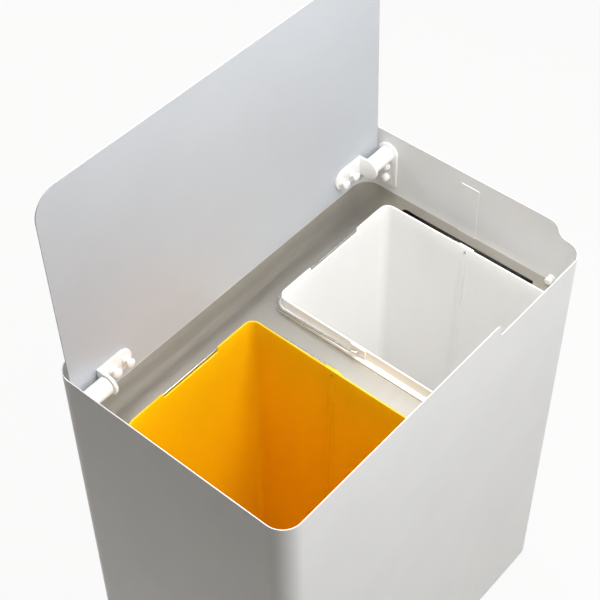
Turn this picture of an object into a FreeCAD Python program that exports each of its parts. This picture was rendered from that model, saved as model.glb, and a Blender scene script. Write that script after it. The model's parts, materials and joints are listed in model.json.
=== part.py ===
import FreeCAD, Part
import math
import os

import Sketcher

# Double recycling bin: a folded sheet-steel cabinet with a steel tray across it, two
# plastic buckets that hang in the tray by their ledges, a wire bail on each bucket and a
# flat sheet lid on two plastic hinges. The frame is X to the right, Y to the back, Z up,
# with the origin on the floor under the middle of the cabinet. The lid is shown open.

doc = FreeCAD.newDocument("recycling_bin")
sheet = doc.addObject("Spreadsheet::Sheet", "sizes")


class Term:
    """A size, as the text of an expression on the sheet together with its value."""

    def __init__(self, text, value):
        self.text = text
        self.value = value

    @staticmethod
    def of(other):
        return other if isinstance(other, Term) else Term(repr(float(other)), float(other))

    def __add__(self, other):
        other = Term.of(other)
        return Term(f"({self.text} + {other.text})", self.value + other.value)

    def __sub__(self, other):
        other = Term.of(other)
        return Term(f"({self.text} - {other.text})", self.value - other.value)

    def __mul__(self, other):
        other = Term.of(other)
        return Term(f"({self.text} * {other.text})", self.value * other.value)

    def __truediv__(self, other):
        other = Term.of(other)
        return Term(f"({self.text} / {other.text})", self.value / other.value)

    def __neg__(self):
        return Term(f"(-1 * {self.text})", -self.value)


def arcsine(term):
    """The angle of a sine, in degrees."""
    return Term(f"asin({term.text})", math.degrees(math.asin(term.value)))


def tangent(term):
    """The tangent of an angle in degrees."""
    return Term(f"tan({term.text})", math.tan(math.radians(term.value)))


ZERO = Term.of(0)
aliases = []


def write_row(alias, content):
    """Give the sheet one more row: a word in column A and its content, so named, in B."""
    aliases.append(alias)
    cell = f"B{len(aliases)}"
    sheet.set(f"A{len(aliases)}", alias)
    sheet.set(cell, content)
    sheet.setAlias(cell, alias)


def size(alias, value):
    """Write one driving dimension to the sheet and return it as a term."""
    write_row(alias, str(value))
    return Term(f"sizes.{alias}", float(value))


def size_from(alias, term):
    """Write a dimension that follows from others to the sheet, as a formula."""
    write_row(alias, "=" + term.text.replace("sizes.", ""))
    return Term(f"sizes.{alias}", term.value)


# Cabinet, in millimetres and degrees
width = size("width", 500)
depth = size("depth", 308)
height = size("height", 600)
corner_radius = size("corner_radius", 23)
wall_sheet = size("wall_sheet", 1)
corner_ease = size("corner_ease", 1.5)
foot_height = size("foot_height", 8)
foot_diameter = size("foot_diameter", 28)
foot_inset = size("foot_inset", 32)
stem_diameter = size("stem_diameter", 8)
stem_rise = size("stem_rise", 6)
fit_clearance = size("fit_clearance", 0.05)
pan_sheet = size("pan_sheet", 1)
pan_flange = size("pan_flange", 25)

# Finger notch cut round the front right corner of the cabinet
notch_drop = size("notch_drop", 19)
notch_front_reach = size("notch_front_reach", 155)
notch_front_ease = size("notch_front_ease", 14)
notch_side_reach = size("notch_side_reach", 24)
notch_side_ease = size("notch_side_ease", 25)

# Tray
tray_drop = size("tray_drop", 90)
tray_sheet = size("tray_sheet", 1)
tray_skirt = size("tray_skirt", 20)
opening_clearance = size("opening_clearance", 2)
slot_front = size("slot_front", 49)
slot_back = size("slot_back", 72)
slot_margin = size("slot_margin", 13)
slot_corner = size("slot_corner", 4)
hanger_width = size("hanger_width", 25)
hanger_sheet = size("hanger_sheet", 0.8)
hanger_drop = size("hanger_drop", 16)
clip_setback = size("clip_setback", 35)
clip_diameter = size("clip_diameter", 10)
clip_tip = size("clip_tip", 7)
clip_reach = size("clip_reach", 9)
seat_gap = size("seat_gap", 0.3)

# Buckets
bucket_gap = size("bucket_gap", 43)
bucket_side_gap = size("bucket_side_gap", 31.5)
bucket_setback = size("bucket_setback", 16)
bucket_back_gap = size("bucket_back_gap", 59)
bucket_clearance = size("bucket_clearance", 46)
bucket_corner = size("bucket_corner", 14)
bucket_wall = size("bucket_wall", 2)
bucket_floor = size("bucket_floor", 2.5)
bucket_taper = size("bucket_taper", 1.5)
rim_rise = size("rim_rise", 16)
ledge_reach = size("ledge_reach", 8)
ledge_thickness = size("ledge_thickness", 2)
recess_width = size("recess_width", 82)
recess_drop = size("recess_drop", 4)
boss_length = size("boss_length", 20)
boss_thickness = size("boss_thickness", 2)
rib_radius = size("rib_radius", 1.5)
rib_spacing = size("rib_spacing", 5.5)
rib_start = size("rib_start", 22)

# Bails
wire_diameter = size("wire_diameter", 3)
wire_offset = size("wire_offset", 5.5)
wire_rest_gap = size("wire_rest_gap", 0.3)
bend_radius = size("bend_radius", 4)

# Lid and hinges
hinge_setback = size("hinge_setback", 36)
hinge_drop = size("hinge_drop", 29.5)
lid_sheet = size("lid_sheet", 1)
lid_offset = size("lid_offset", 14.5)
lid_side_gap = size("lid_side_gap", 3)
lid_front_gap = size("lid_front_gap", 2)
lid_overhang = size("lid_overhang", 27)
lid_corner = size("lid_corner", 30)
lid_rear_corner = size("lid_rear_corner", 20)
lid_lean = size("lid_lean", 1.3)
socket_plate = size("socket_plate", 3)
socket_radius = size("socket_radius", 14)
socket_tail = size("socket_tail", 47)
barrel_diameter = size("barrel_diameter", 20)
barrel_reach = size("barrel_reach", 36)
pin_diameter = size("pin_diameter", 8)
pin_entry = size("pin_entry", 26)
pin_seat = size("pin_seat", 2.5)
pin_clearance = size("pin_clearance", 0.1)
pin_tip_gap = size("pin_tip_gap", 2)
pin_point = size("pin_point", 2)
pin_tip = size("pin_tip", 5.6)
ear_gap = size("ear_gap", 0.5)
ear_thickness = size("ear_thickness", 3.5)
ear_radius = size("ear_radius", 13)
bracket_sheet = size("bracket_sheet", 3)
bracket_length = size("bracket_length", 46)
bracket_front = size("bracket_front", 12)
bracket_rear = size("bracket_rear", 15)
rivet_shank = size("rivet_shank", 5)
rivet_head = size("rivet_head", 10)
rivet_tip = size("rivet_tip", 6)
rivet_rise = size("rivet_rise", 5)
lid_rivet_start = size("lid_rivet_start", 19)
lid_rivet_row = size("lid_rivet_row", 3)
lid_rivet_pitch = size("lid_rivet_pitch", 18)
socket_rivet_start = size("socket_rivet_start", 19)
socket_rivet_pitch = size("socket_rivet_pitch", 17)

# Sizes and places worked out from the others
inner_x = width / 2 - wall_sheet
inner_y = depth / 2 - wall_sheet
inner_corner = corner_radius - wall_sheet + corner_ease
tray_top = height - tray_drop
ledge_top = tray_top + ledge_thickness
rim_top = tray_top + rim_rise
slot_length = size_from("slot_length", depth - slot_front - slot_back)
bucket_width = size_from("bucket_width", inner_x - bucket_side_gap - bucket_gap / 2)
bucket_length = size_from("bucket_length", depth - bucket_setback - bucket_back_gap)
bucket_height = size_from("bucket_height", rim_top - bucket_clearance)
bucket_x = (bucket_gap + bucket_width) / 2
bucket_y = bucket_setback + bucket_length / 2 - depth / 2
pivot_z = (ledge_top + rim_top) / 2
hinge_y = depth / 2 - hinge_setback
hinge_z = height - hinge_drop
ear_x = inner_x - barrel_reach - ear_gap

X_AXIS = FreeCAD.Vector(1, 0, 0)
Y_AXIS = FreeCAD.Vector(0, 1, 0)
Z_AXIS = FreeCAD.Vector(0, 0, 1)
EXTRA = Term.of(1)
SIDES = (("left", -1), ("right", 1))
pieces = []


def bind(item, **terms):
    """Bind properties of an object to terms, and give them their values at once."""
    for name, term in terms.items():
        path = name.replace("__", ".")
        item.setExpression(path, Term.of(term).text)


def place(item, x=ZERO, y=ZERO, z=ZERO, axis=None, angle=None):
    """Bind an object's placement, with a turn about an axis where one is given."""
    x, y, z = Term.of(x), Term.of(y), Term.of(z)
    base = FreeCAD.Vector(x.value, y.value, z.value)
    turn = FreeCAD.Rotation() if axis is None else FreeCAD.Rotation(axis, Term.of(angle).value)
    item.Placement = FreeCAD.Placement(base, turn)
    bind(item, Placement__Base__x=x, Placement__Base__y=y, Placement__Base__z=z)
    if isinstance(angle, Term):
        bind(item, Placement__Rotation__Angle=angle)


def finish(item, label):
    """Name a finished sub-part and note it for export."""
    item.Label = label
    pieces.append(item)
    return item


def block(name, x, y, z):
    """A box between pairs of terms."""
    item = doc.addObject("Part::Box", name)
    bind(item, Length=x[1] - x[0], Width=y[1] - y[0], Height=z[1] - z[0])
    place(item, x[0], y[0], z[0])
    return item


def rod(name, radius, start, end, x=None, y=None, z=None):
    """A cylinder along the axis whose place is left out, from start to end."""
    item = doc.addObject("Part::Cylinder", name)
    bind(item, Radius=radius, Height=end - start)
    if x is None:
        place(item, start, y, z, Y_AXIS, 90)
    elif y is None:
        place(item, x, start, z, X_AXIS, -90)
    else:
        place(item, x, y, start)
    return item


def fuse(name, *items):
    item = doc.addObject("Part::MultiFuse", name)
    item.Shapes = list(items)
    item.Refine = True
    return item


def cut(name, base, tool):
    item = doc.addObject("Part::Cut", name)
    item.Base = base
    item.Tool = tool
    return item


def new_body(label):
    """A body whose finished solid is one sub-part."""
    return finish(doc.addObject("PartDesign::Body", label), label)


def plane(body, role):
    return next(f for f in body.Origin.OriginFeatures if f.Role == role)


def new_sketch(body, name, level=ZERO, role="XY_Plane"):
    sketch = body.newObject("Sketcher::SketchObject", name)
    sketch.AttachmentSupport = (plane(body, role), [""])
    sketch.MapMode = "FlatFace"
    sketch.AttachmentOffset = FreeCAD.Placement(
        FreeCAD.Vector(0, 0, Term.of(level).value), FreeCAD.Rotation()
    )
    bind(sketch, AttachmentOffset__Base__z=level)
    return sketch


def fix(sketch, kind, first, second, term):
    """Hold a distance from one point of a sketch to another at a term."""
    index = sketch.addConstraint(Sketcher.Constraint(kind, *first, *second, term.value))
    sketch.setExpression(f"Constraints[{index}]", term.text)


def fix_radius(sketch, curve, term):
    index = sketch.addConstraint(Sketcher.Constraint("Radius", curve, term.value))
    sketch.setExpression(f"Constraints[{index}]", term.text)


# The points of a curve that a sketch can hold, in the sketcher's own order
CURVE_POINTS = ("edge", "start", "end", "centre")
START, END, CENTRE = (CURVE_POINTS.index(word) for word in CURVE_POINTS[1:])
ORIGIN = (-1, START)


def line(sketch, start, end):
    points = [FreeCAD.Vector(u.value, v.value, 0) for u, v in (start, end)]
    return sketch.addGeometry(Part.LineSegment(*points), False)


def arc(sketch, centre, radius, first, last):
    """An arc, anticlockwise from the first angle to the last, in degrees."""
    middle = FreeCAD.Vector(centre[0].value, centre[1].value, 0)
    circle = Part.Circle(middle, Z_AXIS, radius.value)
    span = (math.radians(first), math.radians(last))
    return sketch.addGeometry(Part.ArcOfCircle(circle, *span), False)


def rounded_rectangle(sketch, x, y, radius, high_radius=None):
    """A rectangle between two terms each way, with its corners rounded."""
    left, right = x
    low, high = y
    upper = high_radius or radius
    sides = []
    corners = []
    runs = (
        ((left + radius, low), (right - radius, low), (right - radius, low + radius)),
        ((right, low + radius), (right, high - upper), (right - upper, high - upper)),
        ((right - upper, high), (left + upper, high), (left + upper, high - upper)),
        ((left, high - upper), (left, low + radius), (left + radius, low + radius)),
    )
    for index, (start, end, centre) in enumerate(runs):
        sides.append(line(sketch, start, end))
        bend = upper if index in (1, 2) else radius
        corners.append(arc(sketch, centre, bend, 90 * index - 90, 90 * index))
    for index, side in enumerate(sides):
        after = sides[(index + 1) % 4]
        sketch.addConstraint(Sketcher.Constraint("Tangent", side, END, corners[index], START))
        sketch.addConstraint(Sketcher.Constraint("Tangent", corners[index], END, after, START))
        kind = "Vertical" if index % 2 else "Horizontal"
        sketch.addConstraint(Sketcher.Constraint(kind, side))
    sketch.addConstraint(Sketcher.Constraint("Equal", corners[0], corners[3]))
    sketch.addConstraint(Sketcher.Constraint("Equal", corners[1], corners[2]))
    fix_radius(sketch, corners[0], radius)
    fix_radius(sketch, corners[1], upper)
    fix(sketch, "DistanceX", ORIGIN, (sides[3], START), left)
    fix(sketch, "DistanceX", ORIGIN, (sides[1], START), right)
    fix(sketch, "DistanceY", ORIGIN, (sides[0], START), low)
    fix(sketch, "DistanceY", ORIGIN, (sides[2], START), high)


def circle(sketch, x, y, radius):
    middle = FreeCAD.Vector(x.value, y.value, 0)
    index = sketch.addGeometry(Part.Circle(middle, Z_AXIS, radius.value), False)
    fix_radius(sketch, index, radius)
    fix(sketch, "DistanceX", ORIGIN, (index, CENTRE), x)
    fix(sketch, "DistanceY", ORIGIN, (index, CENTRE), y)


def pad(body, sketch, length, down=False, taper=None):
    feature = body.newObject("PartDesign::Pad", f"{body.Name}_pad")
    feature.Profile = sketch
    feature.Reversed = down
    bind(feature, Length=length)
    if taper is not None:
        bind(feature, TaperAngle=-taper)
    return feature


def pocket(body, sketch, length, up=False, taper=None):
    feature = body.newObject("PartDesign::Pocket", f"{body.Name}_pocket")
    feature.Profile = sketch
    feature.Reversed = up
    bind(feature, Length=length)
    if taper is not None:
        bind(feature, TaperAngle=-taper)
    return feature


def notch_profile(sketch, far, near, out):
    """The waste of the finger notch: an S-shaped ease down from far to near, then out."""
    top, low, above = height, height - notch_drop, height + EXTRA
    run = near - far
    bend = (run * run + notch_drop * notch_drop) / (notch_drop * 4)
    turn = math.degrees(math.asin(abs(run.value) / 2 / bend.value))
    forward = run.value > 0
    if forward:
        upper = arc(sketch, (far, top - bend), bend, 90 - turn, 90)
        lower = arc(sketch, (near, low + bend), bend, 270 - turn, 270)
        meet, away = START, END
    else:
        upper = arc(sketch, (far, top - bend), bend, 90, 90 + turn)
        lower = arc(sketch, (near, low + bend), bend, 270, 270 + turn)
        meet, away = END, START
    corners = ((near, low), (out, low), (out, above), (far, above), (far, top))
    sides = [line(sketch, a, b) for a, b in zip(corners, corners[1:])]
    sketch.addConstraint(Sketcher.Constraint("Tangent", upper, meet, lower, meet))
    sketch.addConstraint(Sketcher.Constraint("Tangent", lower, away, sides[0], START))
    for before, after in zip(sides, sides[1:]):
        sketch.addConstraint(Sketcher.Constraint("Coincident", before, END, after, START))
    sketch.addConstraint(Sketcher.Constraint("Coincident", sides[3], END, upper, away))
    sketch.addConstraint(Sketcher.Constraint("Vertical", upper, CENTRE, upper, away))
    sketch.addConstraint(Sketcher.Constraint("Equal", upper, lower))
    for index, side in enumerate(sides):
        kind = "Vertical" if index % 2 else "Horizontal"
        sketch.addConstraint(Sketcher.Constraint(kind, side))
    fix(sketch, "DistanceX", ORIGIN, (sides[3], START), far)
    fix(sketch, "DistanceX", ORIGIN, (sides[0], START), near)
    fix(sketch, "DistanceX", ORIGIN, (sides[1], START), out)
    fix(sketch, "DistanceY", ORIGIN, (sides[3], END), top)
    fix(sketch, "DistanceY", ORIGIN, (sides[0], START), low)
    fix(sketch, "DistanceY", ORIGIN, (sides[2], START), above)


def both_ways(half):
    return (-half, half)


def make_outer_shell():
    body = new_body("outer_shell")
    outline = new_sketch(body, "shell_outline", foot_height)
    rounded_rectangle(outline, both_ways(width / 2), both_ways(depth / 2), corner_radius)
    pad(body, outline, height - foot_height)
    hollow = new_sketch(body, "shell_hollow", foot_height)
    rounded_rectangle(
        hollow, both_ways(inner_x), both_ways(inner_y), corner_radius - wall_sheet
    )
    pocket(body, hollow, height - foot_height, up=True)

    front = new_sketch(body, "notch_front", depth / 2 + EXTRA, "XZ_Plane")
    near = width / 2 - notch_front_reach
    notch_profile(front, near - notch_front_ease, near, width / 2 + EXTRA)
    pocket(body, front, corner_radius + EXTRA)
    side = new_sketch(body, "notch_side", width / 2 + EXTRA, "YZ_Plane")
    near = notch_side_reach - depth / 2
    notch_profile(side, near + notch_side_ease, near, -(depth / 2 + EXTRA))
    pocket(body, side, corner_radius + EXTRA)


def make_base_pan():
    body = new_body("base_pan")
    outline = new_sketch(body, "pan_outline", foot_height)
    rounded_rectangle(outline, both_ways(inner_x), both_ways(inner_y), inner_corner)
    pad(body, outline, pan_flange)
    hollow = new_sketch(body, "pan_hollow", foot_height + pan_sheet)
    rounded_rectangle(
        hollow,
        both_ways(inner_x - pan_sheet),
        both_ways(inner_y - pan_sheet),
        inner_corner - pan_sheet,
    )
    pocket(body, hollow, pan_flange - pan_sheet, up=True)
    holes = new_sketch(body, "pan_holes", foot_height)
    for _, x, y in foot_places():
        circle(holes, x, y, stem_diameter / 2 + fit_clearance)
    pocket(body, holes, pan_sheet, up=True)


def foot_places():
    """The name and centre of each foot."""
    for end, y_sign in (("front", -1), ("back", 1)):
        for side, x_sign in SIDES:
            x = (width / 2 - foot_inset) * x_sign
            y = (depth / 2 - foot_inset) * y_sign
            yield f"{end}_{side}", x, y


def make_feet():
    for name, x, y in foot_places():
        label = f"foot_{name}"
        disc = rod(f"{label}_disc", foot_diameter / 2, ZERO, foot_height, x=x, y=y)
        stem_top = foot_height + stem_rise
        stem = rod(f"{label}_stem", stem_diameter / 2, ZERO, stem_top, x=x, y=y)
        finish(fuse(f"{label}_solid", disc, stem), label)


def make_tray():
    body = new_body("bucket_tray")
    outline = new_sketch(body, "tray_outline", tray_top)
    rounded_rectangle(outline, both_ways(inner_x), both_ways(inner_y), inner_corner)
    pad(body, outline, tray_skirt, down=True)
    hollow = new_sketch(body, "tray_hollow", tray_top - tray_sheet)
    rounded_rectangle(
        hollow,
        both_ways(inner_x - tray_sheet),
        both_ways(inner_y - tray_sheet),
        inner_corner - tray_sheet,
    )
    pocket(body, hollow, tray_skirt - tray_sheet)
    half_width = bucket_width / 2 + opening_clearance
    half_length = bucket_length / 2 + opening_clearance
    y = (bucket_y - half_length, bucket_y + half_length)
    slot_y = (slot_front - depth / 2, slot_front + slot_length - depth / 2)
    for side, sign in SIDES:
        x = (bucket_x * sign - half_width, bucket_x * sign + half_width)
        opening = new_sketch(body, f"opening_{side}", tray_top)
        rounded_rectangle(opening, x, y, bucket_corner)
        pocket(body, opening, tray_sheet)
        reach = inner_x - slot_margin
        slot_x = (bucket_x, reach) if sign > 0 else (-reach, -bucket_x)
        slot = new_sketch(body, f"slot_{side}", tray_top)
        rounded_rectangle(slot, slot_x, slot_y, slot_corner)
        pocket(body, slot, tray_sheet)


def make_hangers():
    for side, sign in SIDES:
        edges = sorted(((inner_x - hanger_sheet) * sign, inner_x * sign), key=by_value)
        y = both_ways(hanger_width / 2)
        label = f"tray_hanger_{side}"
        finish(block(f"{label}_strip", edges, y, (tray_top, height - hanger_drop)), label)


def by_value(term):
    return term.value


def ordered(first, second):
    return sorted((first, second), key=by_value)


def make_clips():
    for side, sign in SIDES:
        label = f"tray_clip_{side}"
        y = clip_setback - depth / 2
        z = tray_top + clip_diameter / 2 + seat_gap
        x = (inner_x - clip_reach / 2) * sign
        start, end = ordered(x, inner_x * sign)
        collar = rod(f"{label}_collar", clip_diameter / 2, start, end, y=y, z=z)
        tip = doc.addObject("Part::Cone", f"{label}_tip")
        bind(tip, Radius1=clip_diameter / 2, Radius2=clip_tip / 2, Height=clip_reach / 2)
        place(tip, x, y, z, Y_AXIS, -90 * sign)
        finish(fuse(f"{label}_solid", collar, tip), label)


def make_hinge_sockets():
    barrel_end = inner_x - barrel_reach
    plate_face = inner_x - socket_plate
    y = (hinge_y - socket_radius, hinge_y + socket_radius)
    for side, sign in SIDES:
        label = f"hinge_socket_{side}"
        plate_x = ordered(plate_face * sign, inner_x * sign)
        plate = block(f"{label}_plate", plate_x, y, (hinge_z - socket_tail, hinge_z))
        at_axis = {"y": hinge_y, "z": hinge_z}
        crown = rod(f"{label}_crown", socket_radius, *plate_x, **at_axis)
        barrel_x = ordered(barrel_end * sign, plate_face * sign)
        barrel = rod(f"{label}_barrel", barrel_diameter / 2, *barrel_x, **at_axis)
        bore_end = barrel_end - ear_gap + pin_entry + pin_tip_gap
        bore_x = ordered(barrel_end * sign, bore_end * sign)
        bore = rod(f"{label}_bore", pin_diameter / 2 + pin_clearance, *bore_x, **at_axis)
        holes = [
            rod(f"{label}_hole", rivet_shank / 2 + fit_clearance, *plate_x, y=hinge_y, z=z)
            for z in socket_rivet_heights()
        ]
        solid = fuse(f"{label}_blank", plate, crown, barrel)
        waste = fuse(f"{label}_waste", bore, *holes)
        finish(cut(f"{label}_solid", solid, waste), label)


def socket_rivet_heights():
    return [hinge_z - socket_rivet_start - socket_rivet_pitch * index for index in (0, 1)]


def rivet(label, shank, head, axis, turn, base):
    """A push rivet along an axis: a shank that reaches back from its tapered head."""
    stem = doc.addObject("Part::Cylinder", f"{label}_stem")
    bind(stem, Radius=rivet_shank / 2, Height=shank)
    place(stem, *base, axis, turn)
    cap = doc.addObject("Part::Cone", f"{label}_cap")
    bind(cap, Radius1=rivet_head / 2, Radius2=rivet_tip / 2, Height=rivet_rise)
    place(cap, *head, axis, turn)
    return fuse(f"{label}_solid", stem, cap)


def make_socket_rivets():
    face = inner_x - socket_plate
    for side, sign in SIDES:
        for index, z in enumerate(socket_rivet_heights()):
            label = f"socket_rivet_{side}_{('upper', 'lower')[index]}"
            base = (inner_x * sign, hinge_y, z)
            head = (face * sign, hinge_y, z)
            finish(rivet(label, socket_plate, head, Y_AXIS, -90 * sign, base), label)


def hang_on_hinge(item, label):
    """Turn a lid piece, drawn as if the lid lay shut, about the hinge to its open place."""
    place(item, ZERO, hinge_y, hinge_z, X_AXIS, -(lid_lean + 90))
    return finish(item, label)


def make_lid_panel():
    body = doc.addObject("PartDesign::Body", "lid_panel")
    outline = new_sketch(body, "panel_outline", lid_offset)
    half = inner_x - lid_side_gap
    front = -(hinge_y + inner_y - lid_front_gap)
    span = (front, lid_overhang)
    rounded_rectangle(outline, both_ways(half), span, lid_corner, lid_rear_corner)
    pad(body, outline, lid_sheet)
    hang_on_hinge(body, "lid_panel")


def make_lid_brackets():
    under = lid_offset - bracket_sheet
    mid_row = (bracket_rear - bracket_front) / 2
    round_end = (bracket_rear + bracket_front) / 2
    for side, sign in SIDES:
        label = f"lid_bracket_{side}"
        ear_in = ear_x - ear_thickness
        ear_span = ordered(ear_in * sign, ear_x * sign)
        end_x = ear_x - bracket_length + round_end
        plate_x = ordered(end_x * sign, ear_x * sign)
        y = (-bracket_front, bracket_rear)
        plate = block(f"{label}_plate", plate_x, y, (under, lid_offset))
        tongue = rod(
            f"{label}_tongue", round_end, under, lid_offset, x=end_x * sign, y=mid_row
        )
        web_y = (-bracket_front, ear_radius)
        web = block(f"{label}_web", ear_span, web_y, (ZERO, lid_offset))
        ear = rod(f"{label}_ear", ear_radius, *ear_span, y=ZERO, z=ZERO)
        seat_x = ordered((ear_x - pin_seat) * sign, ear_x * sign)
        seat = rod(f"{label}_seat", pin_diameter / 2 + fit_clearance, *seat_x, y=ZERO, z=ZERO)
        holes = [
            rod(
                f"{label}_hole",
                rivet_shank / 2 + fit_clearance,
                under,
                lid_offset,
                x=x * sign,
                y=lid_rivet_row,
            )
            for x in lid_rivet_places()
        ]
        blank = fuse(f"{label}_blank", plate, tongue, web, ear)
        waste = fuse(f"{label}_waste", seat, *holes)
        hang_on_hinge(cut(f"{label}_solid", blank, waste), label)


def lid_rivet_places():
    return [ear_x - lid_rivet_start - lid_rivet_pitch * index for index in (0, 1)]


def make_lid_rivets():
    under = lid_offset - bracket_sheet
    for side, sign in SIDES:
        for index, x in enumerate(lid_rivet_places()):
            label = f"lid_rivet_{side}_{('outer', 'inner')[index]}"
            base = (x * sign, lid_rivet_row, lid_offset)
            head = (x * sign, lid_rivet_row, under)
            hang_on_hinge(rivet(label, bracket_sheet, head, X_AXIS, 180, base), label)


def make_hinge_pins():
    shoulder = ear_x + pin_entry - pin_point
    for side, sign in SIDES:
        label = f"hinge_pin_{side}"
        span = ordered((ear_x - pin_seat) * sign, shoulder * sign)
        pin = rod(f"{label}_rod", pin_diameter / 2, *span, y=ZERO, z=ZERO)
        point = doc.addObject("Part::Cone", f"{label}_point")
        bind(point, Radius1=pin_diameter / 2, Radius2=pin_tip / 2, Height=pin_point)
        place(point, shoulder * sign, ZERO, ZERO, Y_AXIS, 90 * sign)
        hang_on_hinge(fuse(f"{label}_solid", pin, point), label)


def primitive(body, kind, name, x, y, z, axis=None, angle=None, **sizes_of):
    item = body.newObject(f"PartDesign::{kind}", name)
    bind(item, **sizes_of)
    place(item, x, y, z, axis, angle)
    return item


def primitive_box(body, kind, name, x, y, z):
    spans = {"Length": x[1] - x[0], "Width": y[1] - y[0], "Height": z[1] - z[0]}
    return primitive(body, kind, name, x[0], y[0], z[0], **spans)


def grown(span, amount):
    return (span[0] - amount, span[1] + amount)


def make_bucket(side, sign):
    body = new_body(f"bucket_{side}")
    centre = bucket_x * sign
    half_width = bucket_width / 2
    x = (centre - half_width, centre + half_width)
    y = (bucket_y - bucket_length / 2, bucket_y + bucket_length / 2)
    inner = (grown(x, -bucket_wall), grown(y, -bucket_wall))
    inner_bend = bucket_corner - bucket_wall
    sunk = bucket_height - rim_rise

    ledge = new_sketch(body, f"ledge_{side}", tray_top)
    wide = (grown(x, ledge_reach), grown(y, ledge_reach))
    rounded_rectangle(ledge, *wide, bucket_corner + ledge_reach)
    pad(body, ledge, ledge_thickness)
    collar = new_sketch(body, f"collar_{side}", tray_top)
    rounded_rectangle(collar, x, y, bucket_corner)
    pad(body, collar, rim_rise)
    walls = new_sketch(body, f"walls_{side}", tray_top)
    rounded_rectangle(walls, x, y, bucket_corner)
    pad(body, walls, sunk, down=True, taper=bucket_taper)

    boss_x = grown(x, boss_thickness)
    boss_y = (bucket_y - boss_length / 2, bucket_y + boss_length / 2)
    boss_spans = (boss_x[0], x[0] + bucket_wall), (x[1] - bucket_wall, boss_x[1])
    for index, span in enumerate(boss_spans):
        name = f"boss_{side}_{index}"
        primitive_box(body, "AdditiveBox", name, span, boss_y, (ledge_top, rim_top))

    mouth = new_sketch(body, f"mouth_{side}", rim_top)
    rounded_rectangle(mouth, *inner, inner_bend)
    pocket(body, mouth, rim_rise)
    cavity = new_sketch(body, f"cavity_{side}", tray_top)
    rounded_rectangle(cavity, *inner, inner_bend)
    pocket(body, cavity, sunk - bucket_floor, taper=bucket_taper)

    recess_x = (centre - recess_width / 2, centre + recess_width / 2)
    recess_z = (rim_top - recess_drop, rim_top + EXTRA)
    past_wall = bucket_wall + EXTRA
    recess_spans = (y[0] - EXTRA, y[0] + past_wall), (y[1] - past_wall, y[1] + EXTRA)
    for index, span in enumerate(recess_spans):
        name = f"recess_{side}_{index}"
        primitive_box(body, "SubtractiveBox", name, recess_x, span, recess_z)

    bore = grown(boss_x, EXTRA)
    primitive(
        body, "SubtractiveCylinder", f"pivot_{side}", bore[0], bucket_y, pivot_z, Y_AXIS, 90,
        Radius=wire_diameter / 2 + pin_clearance, Height=bore[1] - bore[0],
    )
    make_ribs(body, side, centre)


def make_ribs(body, side, centre):
    """Three upright ribs down the inner wall under each boss, leaning with the taper."""
    top = rim_top - rib_start
    lean = tangent(bucket_taper)
    reach = bucket_width / 2 - bucket_wall - (tray_top - top) * lean
    length = bucket_height - rib_start - bucket_floor
    for end in (-1, 1):
        for index in (-1, 0, 1):
            name = f"rib_{side}_{end}_{index}".replace("-", "minus")
            primitive(
                body, "AdditiveCylinder", name, centre + reach * end,
                bucket_y + rib_spacing * index, top, Y_AXIS, bucket_taper * end + 180,
                Radius=rib_radius, Height=length,
            )


def make_bail(side, sign):
    """A wire bail, drawn flat about its pivots and laid back on the bucket's ledge."""
    body = doc.addObject("PartDesign::Body", f"bail_{side}")
    half = bucket_width / 2 + wire_offset
    bail_reach = bucket_length / 2 + wire_offset
    bail_drop = pivot_z - ledge_top - wire_diameter / 2 - wire_rest_gap
    bail_tilt = arcsine(bail_drop / bail_reach)
    tip = bucket_width / 2 - bucket_wall - EXTRA
    bend = bend_radius
    turn = bucket_corner + wire_offset
    path = new_sketch(body, f"bail_path_{side}")
    runs = [
        ((-tip, ZERO), (bend - half, ZERO)),
        ((-half, bend), (-half, bail_reach - turn)),
        ((turn - half, bail_reach), (half - turn, bail_reach)),
        ((half, bail_reach - turn), (half, bend)),
        ((half - bend, ZERO), (tip, ZERO)),
    ]
    bends = [
        ((bend - half, bend), bend, 180, 270),
        ((turn - half, bail_reach - turn), turn, 90, 180),
        ((half - turn, bail_reach - turn), turn, 0, 90),
        ((half - bend, bend), bend, -90, 0),
    ]
    lines = [line(path, *run) for run in runs]
    for index, run in zip(lines, runs):
        for end, (u, v) in zip((START, END), run):
            fix(path, "DistanceX", ORIGIN, (index, end), u)
            fix(path, "DistanceY", ORIGIN, (index, end), v)
    for number, (centre, radius, first, last) in enumerate(bends):
        index = arc(path, centre, radius, first, last)
        before, after = lines[number], lines[number + 1]
        path.addConstraint(Sketcher.Constraint("Coincident", index, END, before, END))
        path.addConstraint(Sketcher.Constraint("Coincident", index, START, after, START))
        fix_radius(path, index, radius)
    section = new_sketch(body, f"bail_section_{side}", -tip, "YZ_Plane")
    circle(section, ZERO, ZERO, wire_diameter / 2)
    pipe = body.newObject("PartDesign::AdditivePipe", f"bail_wire_{side}")
    pipe.Profile = section
    pipe.Spine = (path, [])
    place(body, bucket_x * sign, bucket_y, pivot_z, X_AXIS, -bail_tilt)
    finish(body, f"bail_{side}")


def check_document():
    doc.recompute()
    failed = [o.Name for o in doc.Objects if {"Invalid", "Error"} & set(o.State)]
    if failed:
        raise RuntimeError(f"objects that did not build: {failed}")
    for piece in pieces:
        shape = piece.Shape
        if shape.isNull() or not shape.isValid() or not shape.Solids:
            raise RuntimeError(f"no sound solid in {piece.Label}")


def write_pieces():
    os.makedirs("parts", exist_ok=True)
    for piece in pieces:
        piece.Shape.exportStep(os.path.join("parts", f"{piece.Label}.step"))
        box = piece.Shape.BoundBox
        print(
            f"{piece.Label}: {len(piece.Shape.Solids)} solid, {piece.Shape.Volume:.0f} mm3, "
            f"x {box.XMin:.1f} to {box.XMax:.1f}, y {box.YMin:.1f} to {box.YMax:.1f}, "
            f"z {box.ZMin:.1f} to {box.ZMax:.1f}"
        )


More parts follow.
